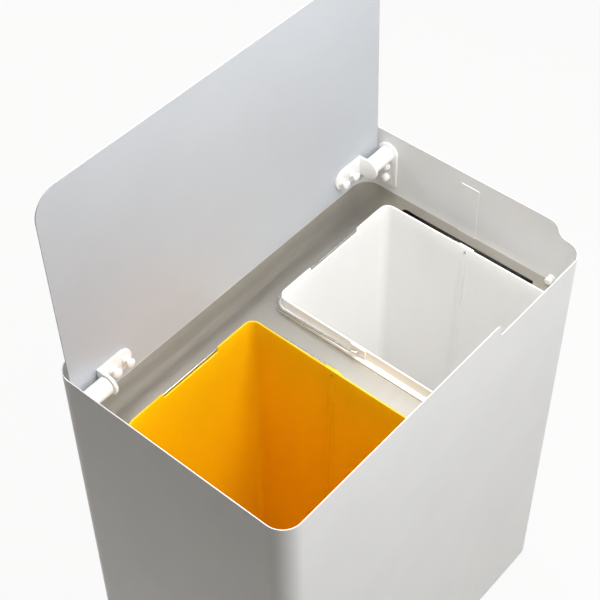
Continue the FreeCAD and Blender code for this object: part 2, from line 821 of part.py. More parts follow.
doc.recompute()
make_outer_shell()
make_base_pan()
make_feet()
make_tray()
make_hangers()
make_clips()
make_hinge_sockets()
make_socket_rivets()
make_lid_panel()
make_lid_brackets()
make_lid_rivets()
make_hinge_pins()
for side_name, side_sign in SIDES:
    make_bucket(side_name, side_sign)
    make_bail(side_name, side_sign)
check_document()
write_pieces()
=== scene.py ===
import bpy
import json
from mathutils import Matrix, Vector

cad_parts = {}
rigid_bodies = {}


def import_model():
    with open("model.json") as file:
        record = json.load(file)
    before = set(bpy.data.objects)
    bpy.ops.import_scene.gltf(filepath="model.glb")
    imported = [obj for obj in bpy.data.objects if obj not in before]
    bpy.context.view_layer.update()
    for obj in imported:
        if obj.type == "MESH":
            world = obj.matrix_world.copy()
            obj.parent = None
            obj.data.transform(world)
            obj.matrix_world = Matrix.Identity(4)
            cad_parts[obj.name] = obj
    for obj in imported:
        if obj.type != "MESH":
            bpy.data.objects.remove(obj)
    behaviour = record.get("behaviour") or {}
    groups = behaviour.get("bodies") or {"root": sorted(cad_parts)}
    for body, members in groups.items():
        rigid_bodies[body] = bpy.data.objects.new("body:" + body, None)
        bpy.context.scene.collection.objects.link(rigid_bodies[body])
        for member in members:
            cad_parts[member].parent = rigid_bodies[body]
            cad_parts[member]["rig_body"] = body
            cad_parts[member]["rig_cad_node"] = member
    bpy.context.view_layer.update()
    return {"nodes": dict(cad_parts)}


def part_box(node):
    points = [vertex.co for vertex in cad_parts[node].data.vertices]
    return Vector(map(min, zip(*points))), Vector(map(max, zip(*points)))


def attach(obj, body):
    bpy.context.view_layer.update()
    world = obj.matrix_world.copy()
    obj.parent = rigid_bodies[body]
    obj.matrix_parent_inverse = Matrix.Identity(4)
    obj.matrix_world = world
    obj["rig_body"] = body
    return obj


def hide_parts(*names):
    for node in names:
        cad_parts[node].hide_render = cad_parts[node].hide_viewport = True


bl_info = {
    "name": "Double recycling bin",
    "version": (1, 0, 0),
    "blender": (4, 5, 0),
    "location": "3D View > Sidebar > Bin",
    "description": "Buckets, hinges, finishes and studio of a sheet-steel bin with two lift-out buckets",
    "category": "Add Mesh",
}

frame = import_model()

import json
import math

import bmesh
import bpy
from bpy.props import FloatProperty, FloatVectorProperty
from mathutils import Matrix, Vector

MM = 0.001
SIDES = ("left", "right")
Z_UP = Vector((0, 0, 1))

# How close a point has to be to a level or a line to count as on it
NEAR = 0.1 * MM

# The least part of a normal along an axis that counts as facing that way
FACING = 0.5

# Angles in degrees: edges sharper than these are rounded or stay crisp
MOULD_EDGE_ANGLE = 35
BUCKET_EDGE_ANGLE = 50
SMOOTH_ANGLE = 32
TURNED_SMOOTH_ANGLE = 40


# Settings that a user would change


def linear(hex_colour):
    """An sRGB hex colour as linear red, green, blue and alpha."""
    parts = [int(hex_colour[i : i + 2], 16) / 255 for i in (1, 3, 5)]
    return [c / 12.92 if c <= 0.04045 else ((c + 0.055) / 1.055) ** 2.4 for c in parts] + [1.0]


def length(name, description, millimetres):
    """A length setting, whose default is given in millimetres."""
    return FloatProperty(
        name=name,
        description=description,
        default=millimetres * MM,
        min=0,
        precision=5,
        subtype="DISTANCE",
        unit="LENGTH",
    )


def colour(name, description, hex_colour):
    """A colour setting, whose default is given as an sRGB hex value."""
    return FloatVectorProperty(
        name=name,
        description=description,
        default=linear(hex_colour),
        size=4,
        min=0,
        max=1,
        subtype="COLOR",
    )


class BinBucketSizes(bpy.types.PropertyGroup):
    """The sizes of a bucket that its box in the frame doesn't give"""

    ledge_reach: length("Ledge reach", "How far the solid's ledge stands out from the collar", 8)
    ledge_trim: length("Ledge trim", "How much narrower the ledge is than in the solid model", 1.5)
    ledge_cove: length("Ledge cove", "Radius where the ledge turns up into the collar", 1.4)
    ledge_thickness: length("Ledge thickness", "Thickness of the ledge on the tray", 2)
    ledge_corner: length("Ledge corner", "Corner radius of the untrimmed ledge seen from above", 19.5)
    rim_rise: length("Rim rise", "Height of the rim above the tray", 16)
    wall: length("Wall", "Thickness of the moulded wall", 2)
    wall_step: length("Wall step", "Inward step of the wall under the collar", 0.5)
    step_height: length("Step height", "Height over which the wall steps in", 4)
    wall_draft: length("Wall draft", "How far each wall leans in from the collar to the floor", 12.2)
    floor_round: length("Floor round", "Radius where the wall turns into the floor", 5)
    recess_width: length("Recess width", "Width of the finger recess in the rim, front and back", 82)
    recess_drop: length("Recess drop", "Depth of the finger recess in the rim", 7)
    boss_length: length("Boss length", "Length of the thick part of the rim round the pivot", 20)
    boss_thickness: length("Boss thickness", "How far the boss stands out from the rim", 2)
    flute_spacing: length("Flute spacing", "Distance between the flutes under the pivot", 5.5)
    flute_depth: length("Flute depth", "How far a flute stands out from the inner wall", 1.2)
    flute_start: length("Flute start", "How far the flutes begin below the rim", 20)
    flute_fade: length("Flute fade", "Height over which a flute rises to its depth", 18)
    edge_round: length("Edge round", "Radius of the moulded edges", 0.6)
    pivot_bore: length("Pivot bore", "Diameter of the hole that a bail's end turns in", 3.2)
    pivot_rise: length("Pivot rise", "Height of the hole above the ledge", 7)


class BinHingeSizes(bpy.types.PropertyGroup):
    """The sizes of the hinge mouldings, push rivets and clips"""

    moulded_edge: length("Moulded edge", "Radius of the hinge mouldings' edges", 0.7)
    rivet_shank: length("Rivet shank", "Radius of a push rivet's shank", 2.5)
    rivet_head: length("Rivet head", "Radius of a push rivet's flange", 5.5)
    rivet_cap: length("Rivet cap", "Radius of a lid rivet's cap", 5.0)
    clip_radius: length("Clip radius", "Radius of the knob that clips the tray to the wall", 5)


class BinFinishes(bpy.types.PropertyGroup):
    """The colours of the pieces"""

    cabinet_coat: colour("Cabinet coat", "Powder coat of the cabinet", "#E6E6E5")
    lid_coat: colour("Lid coat", "Powder coat of the lid", "#BEC2C7")
    tray_steel: colour("Tray steel", "Satin steel of the tray", "#BFBAB1")
    yellow: colour("Yellow", "Yellow bucket", "#FECB08")
    white: colour("White", "White bucket", "#FAF9F7")
    hinge_white: colour("Hinge white", "White hinge mouldings", "#F1F1EF")
    wire: colour("Wire", "Drawn steel wire of the bails", "#C6C5C1")
    pin: colour("Pin", "Plated steel of the hinge pins", "#BDBBB6")
    foot: colour("Foot", "Black rubber of the feet", "#1E1E1E")


# Small helpers for modelling


def make_active(piece):
    """Select one piece alone and make it the active one."""
    bpy.ops.object.select_all(action="DESELECT")
    piece.select_set(True)
    bpy.context.view_layer.objects.active = piece


def named(name):
    """Give the active object, and its mesh, a name."""
    piece = bpy.context.object
    piece.name = name
    piece.data.name = name
    return piece


def edit(piece):
    """Enter edit mode on one piece alone."""
    make_active(piece)
    bpy.ops.object.mode_set(mode="EDIT")


def leave():
    """Leave edit mode."""
    bpy.ops.object.mode_set(mode="OBJECT")


def choose(kind, test):
    """In edit mode, select only the vertices or faces whose centre and normal pass a test."""
    bpy.ops.mesh.select_mode(type=kind)
    bpy.ops.mesh.select_all(action="DESELECT")
    shape = bmesh.from_edit_mesh(bpy.context.edit_object.data)
    if kind == "VERT":
        found = [v for v in shape.verts if test(v.co, v.normal)]
    else:
        found = [f for f in shape.faces if test(f.calc_center_median(), f.normal)]
    for item in found:
        item.select_set(True)
    shape.select_flush_mode()
    bmesh.update_edit_mesh(bpy.context.edit_object.data)
    if not found:
        raise RuntimeError(f"nothing to select on {bpy.context.edit_object.name}")


def raise_face(rise, factor=(1, 1), centre=(0, 0)):
    """Extrude the selected faces up or down, and scale the new ones about a centre."""
    bpy.ops.mesh.extrude_region_move(TRANSFORM_OT_translate={"value": (0, 0, rise)})
    if factor != (1, 1):
        bpy.ops.transform.resize(value=(*factor, 1), center_override=(*centre, 0))


def outwards():
    """Turn all the faces outwards."""
    bpy.ops.mesh.select_all(action="SELECT")
    bpy.ops.mesh.normals_make_consistent(inside=False)


def add_modifier(piece, kind, **settings):
    """Add a modifier with its settings and apply it."""
    make_active(piece)
    modifier = piece.modifiers.new(kind.lower(), kind)
    for name, value in settings.items():
        setattr(modifier, name, value)
    bpy.ops.object.modifier_apply(modifier=modifier.name)


def round_edges(piece, width, angle):
    """Round the edges that are sharper than an angle in degrees."""
    add_modifier(
        piece,
        "BEVEL",
        width=width,
        segments=2,
        limit_method="ANGLE",
        angle_limit=math.radians(angle),
    )


def smooth(piece, angle=SMOOTH_ANGLE):
    """Shade a piece smooth, apart from its edges sharper than an angle in degrees."""
    make_active(piece)
    bpy.ops.object.shade_smooth_by_angle(angle=math.radians(angle))


# What the frame says of a node, and how a piece takes its place


def body_of(node):
    return frame["nodes"][node]["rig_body"]


def middle(node):
    """The middle of a node's box."""
    low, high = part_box(node)
    return (low + high) / 2


def hand_over(piece, node, material):
    """Finish a piece with its material, and let it ride and stand for its node."""
    piece.data.materials.clear()
    piece.data.materials.append(material)
    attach(piece, body_of(node))
    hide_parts(node)


def finish_node(node, material):
    """Give a node of the frame a new material on its own slots."""
    for slot in frame["nodes"][node].material_slots:
        slot.material = material


def softened(node, name, width):
    """A merged copy of a node, with its moulded edges rounded."""
    merge_gap = 0.005 * MM
    flat_angle = math.radians(0.5)
    source = frame["nodes"][node]
    piece = source.copy()
    piece.data = source.data.copy()
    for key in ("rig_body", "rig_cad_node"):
        del piece[key]
    piece.parent = None
    bpy.context.scene.collection.objects.link(piece)
    edit(piece)
    named(name)
    bpy.ops.mesh.customdata_custom_splitnormals_clear()
    bpy.ops.mesh.select_all(action="SELECT")
    bpy.ops.mesh.remove_doubles(threshold=merge_gap)
    bpy.ops.mesh.dissolve_limited(angle_limit=flat_angle)
    leave()
    round_edges(piece, width, MOULD_EDGE_ANGLE)
    smooth(piece)
    return piece


# Materials


def add(tree, kind, settings=None, inputs=None):
    """Add a node with its settings, and give each input a value or link it to a socket."""
    item = tree.nodes.new(kind)
    for name, value in (settings or {}).items():
        setattr(item, name, value)
    for name, value in (inputs or {}).items():
        if isinstance(value, bpy.types.NodeSocket):
            tree.links.new(value, item.inputs[name])
        else:
            item.inputs[name].default_value = value
    return item


def grain(tree, place, size_mm, detail=2.0, stretch=(1, 1, 1)):
    """Noise whose grains are about size_mm across, drawn out along an axis by stretch."""
    scale = [1 / (size_mm * MM * s) for s in stretch]
    mapped = add(tree, "ShaderNodeMapping", None, {"Vector": place, "Scale": scale})
    inputs = {"Vector": mapped.outputs["Vector"], "Scale": 1.0, "Detail": detail}
    return add(tree, "ShaderNodeTexNoise", None, inputs).outputs["Fac"]


def span(tree, value, low, high):
    """Stretch a noise's middle range to low..high."""
    inputs = {"Value": value, "From Min": 0.3, "From Max": 0.7, "To Min": low, "To Max": high}
    return add(tree, "ShaderNodeMapRange", None, inputs).outputs["Result"]


def tint(tree, shader, value, base, shade):
    """Vary the base colour between itself and a darker shade of it."""
    factor, first, second, result = 0, 6, 7, 2
    darker = [c * shade for c in base[:3]] + [1.0]
    mix = add(tree, "ShaderNodeMix", {"data_type": "RGBA"}, {factor: value})
    mix.inputs[first].default_value = base
    mix.inputs[second].default_value = darker
    tree.links.new(mix.outputs[result], shader.inputs["Base Color"])


def bump(tree, shader, height, depth_mm):
    """Raise the surface by a pattern, depth_mm from its lowest to its highest point."""
    inputs = {"Height": height, "Distance": depth_mm * MM, "Strength": 1.0}
    node = add(tree, "ShaderNodeBump", None, inputs)
    tree.links.new(node.outputs["Normal"], shader.inputs["Normal"])


def surface(name, base, shade, clouds, relief, depth_mm, rough, sheen=None, metallic=0.0, ior=1.5):
    """A material whose colour, relief and roughness follow noises in Object coordinates.

    clouds, relief and sheen are the settings of those noises: clouds darken the base colour
    to its shade, relief raises the surface by depth_mm, and sheen, or else relief, moves the
    roughness along the range rough.
    """
    material = bpy.data.materials.new(name)
    material.use_nodes = True
    tree = material.node_tree
    tree.nodes.clear()
    shader = add(tree, "ShaderNodeBsdfPrincipled", None, {"Metallic": metallic, "IOR": ior})
    add(tree, "ShaderNodeOutputMaterial", None, {"Surface": shader.outputs["BSDF"]})
    place = add(tree, "ShaderNodeTexCoord").outputs["Object"]
    tint(tree, shader, span(tree, grain(tree, place, **clouds), 0, 1), base, shade)
    height = grain(tree, place, **relief)
    bump(tree, shader, height, depth_mm)
    gloss = grain(tree, place, **sheen) if sheen else height
    tree.links.new(span(tree, gloss, *rough), shader.inputs["Roughness"])
    return material


def powder_coat(name, base):
    """Polyester powder coat, baked on sheet steel: satin, with a fine orange peel."""
    return surface(
        name,
        base,
        shade=0.965,
        clouds={"size_mm": 90},
        relief={"size_mm": 2.6},
        depth_mm=0.02,
        sheen={"size_mm": 14},
        rough=(0.40, 0.48),
    )


def satin_steel(name, base):
    """Cold-rolled steel sheet with a satin ground face: soft streaks along the tray."""
    return surface(
        name,
        base,
        shade=0.95,
        clouds={"size_mm": 60},
        relief={"size_mm": 0.9, "detail": 3.0, "stretch": (45, 1, 1)},
        depth_mm=0.004,
        rough=(0.30, 0.38),
        metallic=1.0,
    )


def moulded_plastic(name, base, rough, shade):
    """Injection-moulded plastic: semi-gloss, with faint flow marks and a fine spark."""
    return surface(
        name,
        base,
        shade=shade,
        clouds={"size_mm": 55, "detail": 1.0, "stretch": (1, 1, 3)},
        relief={"size_mm": 1.4},
        depth_mm=0.012,
        sheen={"size_mm": 9},
        rough=rough,
        ior=1.49,
    )


def drawn_wire(name, base):
    """Bright drawn steel wire: smooth, with short die marks."""
    return surface(
        name,
        base,
        shade=0.88,
        clouds={"size_mm": 6},
        relief={"size_mm": 0.8},
        depth_mm=0.004,
        sheen={"size_mm": 3},
        rough=(0.2, 0.3),
        metallic=1.0,
    )


def moulded_rubber(name, base):
    """Moulded rubber: matt, with a dusty bloom."""
    return surface(
        name,
        base,
        shade=0.7,
        clouds={"size_mm": 7},
        relief={"size_mm": 1.0},
        depth_mm=0.03,
        sheen={"size_mm": 4},
        rough=(0.65, 0.8),
        ior=1.52,
    )


# Buckets

FLOOR_THICKNESS = 2.5 * MM
RECESS_SLOPE = 1.2 * MM  # width of the slope at each end of a finger recess
DRILL_SPARE = 20 * MM  # how much longer the drill is than the bucket is wide

# The flutes across, as shares of their spacing
FLUTE_FLANK = 0.15  # from a flute's crest to the middle of its flank
FLUTE_FOOT = 0.3  # from a flute's crest to its foot
FLUTE_FIELD = 1.5  # where the field of three flutes ends, from its middle
FLANK_DEPTH = 0.7  # how deep the flank stands out, as a share of the crest


def both(amount):
    """One amount along X and along Y."""
    return Vector((amount, amount))


def quarter(radius):
    """Three steps round a quarter circle: how far each goes on, and how far it turns in."""
    turns = [math.radians(turn) for turn in (0, 30, 60, 90)]
    for last, now in zip(turns, turns[1:]):
        onwards = radius * (math.sin(now) - math.sin(last))
        inwards = radius * (math.cos(last) - math.cos(now))
        yield onwards, inwards


class BucketPlan:
    """The centre, levels and half sizes that a bucket takes from its node's box."""

    def __init__(self, node, sizes):
        self.low, self.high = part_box(node)
        self.centre = (self.low + self.high).xy / 2
        self.tray_top = self.high.z - sizes.rim_rise
        self.depth = self.high.z - self.low.z
        self.slant = sizes.wall_draft / (self.depth - sizes.rim_rise)
        solid_ledge = (self.high - self.low).xy / 2
        self.collar = solid_ledge - both(sizes.ledge_reach)
        self.ledge = solid_ledge - both(sizes.ledge_trim)
        self.ledge_width = sizes.ledge_reach - sizes.ledge_trim

    def lower(self, half, drop, inward):
        """Extrude the selected faces down and inwards, and return their new half size."""
        factor = ((half.x - inward) / half.x, (half.y - inward) / half.y)
        raise_face(-drop, factor, self.centre)
        return half - both(inward)


def start_ledge(name, plan, corner):
    """A rounded rectangle at the ledge's underside, in edit mode."""
    bpy.ops.object.select_all(action="DESELECT")
    bpy.ops.mesh.primitive_plane_add(size=2, location=(0, 0, 0))
    piece = named(name)
    edit(piece)
    bpy.ops.mesh.select_all(action="SELECT")
    bpy.ops.transform.resize(value=(plan.ledge.x, plan.ledge.y, 1))
    bpy.ops.mesh.bevel(offset=corner, segments=9, affect="VERTICES")
    bpy.ops.mesh.select_all(action="SELECT")
    bpy.ops.transform.translate(value=(*plan.centre, plan.tray_top))
    return piece


def score(lines, axis, centre):
    """Cut the flat start along lines at the given distances from its centre."""
    for distance in lines:
        point = [centre[0], centre[1], 0]
        point[axis] += distance
        normal = [0, 0, 0]
        normal[axis] = 1
        bpy.ops.mesh.select_all(action="SELECT")
        bpy.ops.mesh.bisect(plane_co=point, plane_no=normal)


def score_start(plan, sizes):
    """Cut the flat start where the recesses, flutes and bosses will begin and end."""
    recess = sizes.recess_width / 2
    boss = sizes.boss_length / 2
    flute = sizes.flute_spacing
    score([s * d for s in (-1, 1) for d in (recess, recess + RECESS_SLOPE)], 0, plan.centre)
    crests = [flute * i for i in (-1, 0, 1)]
    offsets = [flute * share for share in (-FLUTE_FOOT, -FLUTE_FLANK, 0, FLUTE_FLANK, FLUTE_FOOT)]
    score([crest + offset for crest in crests for offset in offsets], 1, plan.centre)
    score([s * d for s in (-1, 1) for d in (flute * FLUTE_FIELD, boss)], 1, plan.centre)


def build_rim(plan, sizes):
    """Upwards: the ledge, its cove, the collar and the rim."""
    bpy.ops.mesh.select_all(action="SELECT")
    raise_face(sizes.ledge_thickness)
    bpy.ops.mesh.inset(thickness=plan.ledge_width - sizes.ledge_cove)
    for inset, rise in quarter(sizes.ledge_cove):
        bpy.ops.mesh.inset(thickness=inset, depth=rise)
    raise_face(sizes.rim_rise - sizes.ledge_thickness - sizes.ledge_cove)
    bpy.ops.mesh.inset(thickness=sizes.wall)


def build_inside(plan, sizes):
    """From the rim down the inner wall, over its step, to the rounded floor."""
    raise_face(sizes.step_height - sizes.rim_rise)
    half = plan.lower(plan.collar - both(sizes.wall), sizes.step_height, sizes.wall_step)
    full_flute = sizes.flute_start + sizes.flute_fade
    floor_turn = plan.depth - FLOOR_THICKNESS - sizes.floor_round
    reached = sizes.rim_rise
    for stop in (sizes.flute_start, full_flute, floor_turn):
        drop = stop - reached
        half = plan.lower(half, drop, plan.slant * drop)
        reached = stop
    for drop, inwards in quarter(sizes.floor_round):
        half = plan.lower(half, drop, inwards)


def build_outside(plan, sizes):
    """From the ledge's underside down the outer wall to the rounded bottom."""
    outwards()
    choose("FACE", lambda co, n: abs(co.z - plan.tray_top) < NEAR and n.z < -FACING)
    bpy.ops.mesh.inset(thickness=plan.ledge_width + sizes.wall_step)
    drop = plan.tray_top - plan.low.z - sizes.floor_round
    half = plan.lower(plan.collar - both(sizes.wall_step), drop, plan.slant * drop)
    for drop, inwards in quarter(sizes.floor_round):
        half = plan.lower(half, drop, inwards)
    outwards()


def push_out_bosses(plan, sizes):
    """Thicken the collar outwards round both pivots."""
    above_cove = plan.tray_top + sizes.ledge_thickness + sizes.ledge_cove
    for side in (-1, 1):
        face_x = plan.centre.x + side * plan.collar.x
        choose(
            "FACE",
            lambda co, n: abs(co.x - face_x) < NEAR
            and abs(co.y - plan.centre.y) < sizes.boss_length / 2
            and co.z > above_cove,
        )
        out = side * sizes.boss_thickness
        bpy.ops.mesh.extrude_region_move(TRANSFORM_OT_translate={"value": (out, 0, 0)})


def lower_recesses(plan, sizes):
    """Lower the rim's front and back to the finger recesses."""
    choose(
        "VERT",
        lambda co, n: co.z > plan.high.z - NEAR
        and abs(co.x - plan.centre.x) < sizes.recess_width / 2 + NEAR
        and abs(co.y - plan.centre.y) > plan.collar.y - 2 * sizes.wall,
    )
    bpy.ops.transform.translate(value=(0, 0, -sizes.recess_drop))


def flute_test(plan, sizes, side, line):
    """A test for the inner wall's points where one line across each flute is deepest."""
    level = plan.high.z - sizes.flute_start - sizes.flute_fade
    line_width = 0.05

    def test(co, normal):
        across = (co.y - plan.centre.y) / sizes.flute_spacing
        crest = round(across)
        on_line = abs(abs(across - crest) - line) < line_width
        on_side = (co.x - plan.centre.x) * side > 0
        faces_in = -side * normal.x > FACING
        return abs(co.z - level) < NEAR and on_side and faces_in and abs(crest) <= 1 and on_line

    return test


def push_in_flutes(plan, sizes):
    """Push three flutes into the bucket from the wall under each pivot."""
    for side in (-1, 1):
        for line, share in ((0, 1), (FLUTE_FLANK, FLANK_DEPTH)):
            choose("VERT", flute_test(plan, sizes, side, line))
            inward = -side * sizes.flute_depth * share
            bpy.ops.transform.translate(value=(inward, 0, 0))


def model_bucket(name, plan, sizes):
    """One bucket, from its ledge up to the rim, down inside, and down outside."""
    piece = start_ledge(name, plan, sizes.ledge_corner - sizes.ledge_trim)
    score_start(plan, sizes)
    build_rim(plan, sizes)
    build_inside(plan, sizes)
    build_outside(plan, sizes)
    push_out_bosses(plan, sizes)
    lower_recesses(plan, sizes)
    push_in_flutes(plan, sizes)
    outwards()
    leave()
    round_edges(piece, sizes.edge_round, BUCKET_EDGE_ANGLE)
    return piece


def bore_pivots(piece, plan, sizes):
    """Bore the hole for the bail's ends through both bosses."""
    level = plan.high.z - sizes.rim_rise + sizes.ledge_thickness + sizes.pivot_rise
    bpy.ops.object.select_all(action="DESELECT")
    bpy.ops.mesh.primitive_cylinder_add(
        vertices=24,
        radius=sizes.pivot_bore / 2,
        depth=plan.high.x - plan.low.x + DRILL_SPARE,
        location=(*plan.centre, level),
        rotation=(0, math.radians(90), 0),
    )
    drill = named("drill")
    add_modifier(piece, "BOOLEAN", operation="DIFFERENCE", object=drill, solver="EXACT")
    bpy.data.objects.remove(drill)


class BIN_OT_buckets(bpy.types.Operator):
    """Model the two moulded buckets: ledge, rim with finger recesses, pivot bosses, flutes"""

    bl_idname = "bin.buckets"
    bl_label = "Buckets"

    def execute(self, context):
        sizes = context.scene.bin_bucket_sizes
        finishes = context.scene.bin_finishes
        yellow = moulded_plastic(
            "moulded_yellow_polypropylene", finishes.yellow, rough=(0.30, 0.39), shade=0.95
        )
        white = moulded_plastic(
            "moulded_white_polypropylene", finishes.white, rough=(0.32, 0.41), shade=0.975
        )
        for side, material in zip(SIDES, (yellow, white)):
            node = f"bucket_{side}"
            plan = BucketPlan(node, sizes)
            piece = model_bucket(f"{side}_bucket", plan, sizes)
            bore_pivots(piece, plan, sizes)
            smooth(piece)
            hand_over(piece, node, material)
        return {"FINISHED"}


# Hinges, rivets and clips

LID_SHEET = 1 * MM

# In the solid model a rivet's shank fills a 3 mm plate and its head stands 5 mm out of it, so
# the plate's face is 1 mm behind the middle. A clip starts at the wall and is 9 mm long.
RIVET_MIDDLE = 1 * MM
CLIP_MIDDLE = 4.5 * MM

# Profiles from the base to the tip: a radius, the share of it that is used, and the height in
# millimetres. The rivet's shank lies in its plate, and its flange in front of the plate.
LID_RIVET = (
    ("shank", 1, -3),
    ("shank", 1, 0),
    ("head", 1, 0.05),
    ("head", 1, 1.2),
    ("head", 0.7, 2.0),
    ("shank", 1, 2.8),
    ("shank", 1, 5.0),
    ("cap", 0.86, 5.6),
    ("cap", 1, 6.4),
    ("cap", 1, 8.6),
    ("cap", 0.8, 9.7),
    ("cap", 0.4, 10.2),
)
WALL_RIVET = (
    ("shank", 1, -3),
    ("shank", 1, 0),
    ("head", 1, 0.05),
    ("head", 1, 2.6),
    ("head", 0.94, 4.0),
    ("head", 0.76, 5.4),
    ("head", 0.45, 6.2),
    ("head", 0.15, 6.5),
)
CLIP_KNOB = (
    ("knob", 0.96, 0),
    ("knob", 1, 0.4),
    ("knob", 1, 1.8),
    ("knob", 0.74, 2.4),
    ("knob", 0.64, 3.0),
    ("knob", 0.64, 4.2),
    ("knob", 0.9, 4.8),
    ("knob", 0.94, 5.4),
    ("knob", 0.94, 7.8),
    ("knob", 0.8, 8.7),
    ("knob", 0.4, 9.0),
)


def turned(name, rings, place, direction):
    """A knob built up from a disc, ring by ring of radius and height, set along a direction."""
    bpy.ops.object.select_all(action="DESELECT")
    radius, height = rings[0]
    bpy.ops.mesh.primitive_circle_add(vertices=28, radius=radius, fill_type="NGON")
    piece = named(name)
    edit(piece)
    bpy.ops.mesh.select_all(action="SELECT")
    bpy.ops.transform.translate(value=(0, 0, height))
    for wide, high in rings[1:]:
        raise_face(high - height, (wide / radius, wide / radius))
        radius, height = wide, high
    outwards()
    leave()
    turn = Z_UP.rotation_difference(direction).to_matrix().to_4x4()
    piece.matrix_world = Matrix.Translation(place) @ turn
    bpy.ops.object.transform_apply(location=True, rotation=True, scale=True)
    smooth(piece, TURNED_SMOOTH_ANGLE)
    return piece


def panel_normal():
    """The direction that the open lid's outer face looks in."""
    low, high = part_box("lid_panel")
    lean = math.atan2(high.y - low.y - LID_SHEET, high.z - low.z)
    return Vector((0, math.cos(lean), -math.sin(lean)))


class BIN_OT_hinges(bpy.types.Operator):
    """Round the hinge mouldings, and finish the pins that turn in them"""

    bl_idname = "bin.hinges"
    bl_label = "Hinges"

    def execute(self, context):
        finishes = context.scene.bin_finishes
        edge = context.scene.bin_hinge_sizes.moulded_edge
        plastic = moulded_plastic(
            "moulded_white_acetal", finishes.hinge_white, rough=(0.34, 0.43), shade=0.97
        )
        steel = drawn_wire("plated_pin_steel", finishes.pin)
        for side in SIDES:
            for part in ("hinge_socket", "lid_bracket"):
                node = f"{part}_{side}"
                hand_over(softened(node, f"{side}_{part}", edge), node, plastic)
            finish_node(f"hinge_pin_{side}", steel)
        return {"FINISHED"}


class BIN_OT_rivets(bpy.types.Operator):
    """Model the push rivets of the hinges and the knobs that clip the tray to the walls"""

    bl_idname = "bin.rivets"
    bl_label = "Rivets and clips"

    def execute(self, context):
        sizes = context.scene.bin_hinge_sizes
        radii = {
            "shank": sizes.rivet_shank,
            "head": sizes.rivet_head,
            "cap": sizes.rivet_cap,
            "knob": sizes.clip_radius,
        }
        lid_normal = -panel_normal()
        for side, sign in zip(SIDES, (-1, 1)):
            across = Vector((-sign, 0, 0))
            for end in ("outer", "inner"):
                node = f"lid_rivet_{side}_{end}"
                self.fit(node, LID_RIVET, radii, RIVET_MIDDLE, lid_normal)
            for end in ("upper", "lower"):
                node = f"socket_rivet_{side}_{end}"
                self.fit(node, WALL_RIVET, radii, RIVET_MIDDLE, across)
            self.fit(f"tray_clip_{side}", CLIP_KNOB, radii, CLIP_MIDDLE, across)
        return {"FINISHED"}

    def fit(self, node, profile, radii, middle_height, direction):
        """Set a turned knob on the face that a node stands on, in place of the node."""
        rings = [(radii[part] * share, height * MM) for part, share, height in profile]
        base = middle(node) - direction * middle_height
        piece = turned(f"{node}_knob", rings, base, direction)
        hand_over(piece, node, bpy.data.materials["moulded_white_acetal"])


# Sheet metal, wire and feet

FOOT_EDGE = 1 * MM


class BIN_OT_sheet_metal(bpy.types.Operator):
    """Finish the folded sheet-steel pieces: cabinet, base pan, tray, hangers and lid"""

    bl_idname = "bin.sheet_metal"
    bl_label = "Sheet metal"

    def execute(self, context):
        finishes = context.scene.bin_finishes
        coat = powder_coat("powder_coated_steel_light_grey", finishes.cabinet_coat)
        for node in ("outer_shell", "base_pan", "tray_hanger_left", "tray_hanger_right"):
            finish_node(node, coat)
        finish_node("lid_panel", powder_coat("powder_coated_steel_lid", finishes.lid_coat))
        finish_node("bucket_tray", satin_steel("satin_ground_steel", finishes.tray_steel))
        return {"FINISHED"}


class BIN_OT_bails(bpy.types.Operator):
    """Finish the drawn-wire bails"""

    bl_idname = "bin.bails"
    bl_label = "Bails"

    def execute(self, context):
        steel = drawn_wire("drawn_bail_wire", context.scene.bin_finishes.wire)
        for side in SIDES:
            finish_node(f"bail_{side}", steel)
        return {"FINISHED"}


class BIN_OT_feet(bpy.types.Operator):
    """Round the edges of the four rubber feet"""

    bl_idname = "bin.feet"
    bl_label = "Feet"

    def execute(self, context):
        rubber = moulded_rubber("moulded_black_rubber", context.scene.bin_finishes.foot)
        for end in ("front", "back"):
            for side in SIDES:
                node = f"foot_{end}_{side}"
                hand_over(softened(node, f"{end}_{side}_foot", FOOT_EDGE), node, rubber)
        return {"FINISHED"}


# Studio: places and sizes in metres, turns in degrees, power in watts

WHITE = "#FFFFFF"
RIM = (0, 0, 0.5)
SOFTBOXES = (
    {
        "name": "overhead_softbox",
        "place": (0.06, -0.2, 1.5),
        "target": (0.06, -0.2, 0),
        "size": (0.5, 1.6),
        "power": 17.8,
    },
    {
        "name": "near_softbox",
        "place": (0.06, -0.6, 1.35),
        "target": (0.12, 0, 0.5),
        "size": (0.42, 0.8),
        "power": 3.1,
    },
    {"name": "front_softbox", "place": (0.5, -2.4, 1.2), "power": 11.4, "light": "#F3F8FF"},
    {"name": "right_softbox", "place": (2.2, -0.8, 1.6), "power": 13.8},
    {"name": "back_softbox", "place": (1.2, 2.2, 1.9), "power": 14},
    {"name": "rear_softbox", "place": (0.3, 2.8, 0.9), "power": 26},
)

FLOOR_WIDTH = 8
FLOOR_COLOUR = "#CDCBC6"
FLOOR_GLOW = 0.92  # share of the floor's look that is plain white rather than lit
FILL_COLOUR = "#FFF2E0"
FILL_STRENGTH = 0.11

# The camera at the photograph's viewing angle
CAMERA_PLACE = (-0.7826, -0.6409, 1.7042)
CAMERA_TURN = (43.274, 0.532, -49.443)
SENSOR_WIDTH_MM = 36
LENS_MM = 86.49
CAMERA_SHIFT = -0.03


def seen_directly(tree):
    """1 for rays that show the background itself, in the picture or in a reflection."""
    path = add(tree, "ShaderNodeLightPath")
    total = path.outputs["Is Camera Ray"]
    for name in ("Is Glossy Ray", "Is Transmission Ray"):
        pair = {0: total, 1: path.outputs[name]}
        total = add(tree, "ShaderNodeMath", {"operation": "MAXIMUM"}, pair).outputs[0]
    return total


